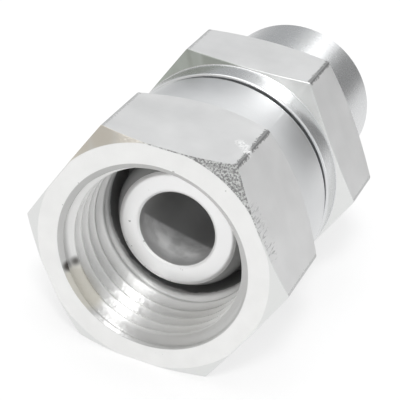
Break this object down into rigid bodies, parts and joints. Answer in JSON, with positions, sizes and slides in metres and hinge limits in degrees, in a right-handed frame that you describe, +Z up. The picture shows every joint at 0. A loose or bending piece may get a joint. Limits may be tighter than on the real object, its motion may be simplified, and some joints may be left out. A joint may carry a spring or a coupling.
{
  "type": "swivel adapter fitting",
  "caption": "Steel pipe adapter: a threaded hexagon swivel nut turns freely on a hexagon body with a coned sealing nose in front and a plain round spigot behind.",
  "frame": {"origin": "on the surface that the fitting lies on, under the middle of its length", "axes": "+Y along the flow axis from the nut's mouth to the spigot, +Z up, square to the wrench flats that it lies on, +X to the right of someone who looks into the nut's mouth"},
  "size_m": [0.0324, 0.0504, 0.028],
  "materials": {
    "zinc_plated_steel": "turned and milled free-cutting steel under a thin bright zinc plating"
  },
  "bodies": {
    "body": {"adapter_body": "zinc_plated_steel"},
    "nut": {"swivel_nut": "zinc_plated_steel"}
  },
  "joints": [
    {"name": "nut_swivel", "type": "hinge", "parent": "body", "child": "nut", "pos_m": [0, -0.0101, 0.014], "axis": [0, -1, 0], "continuous": true}
  ]
}
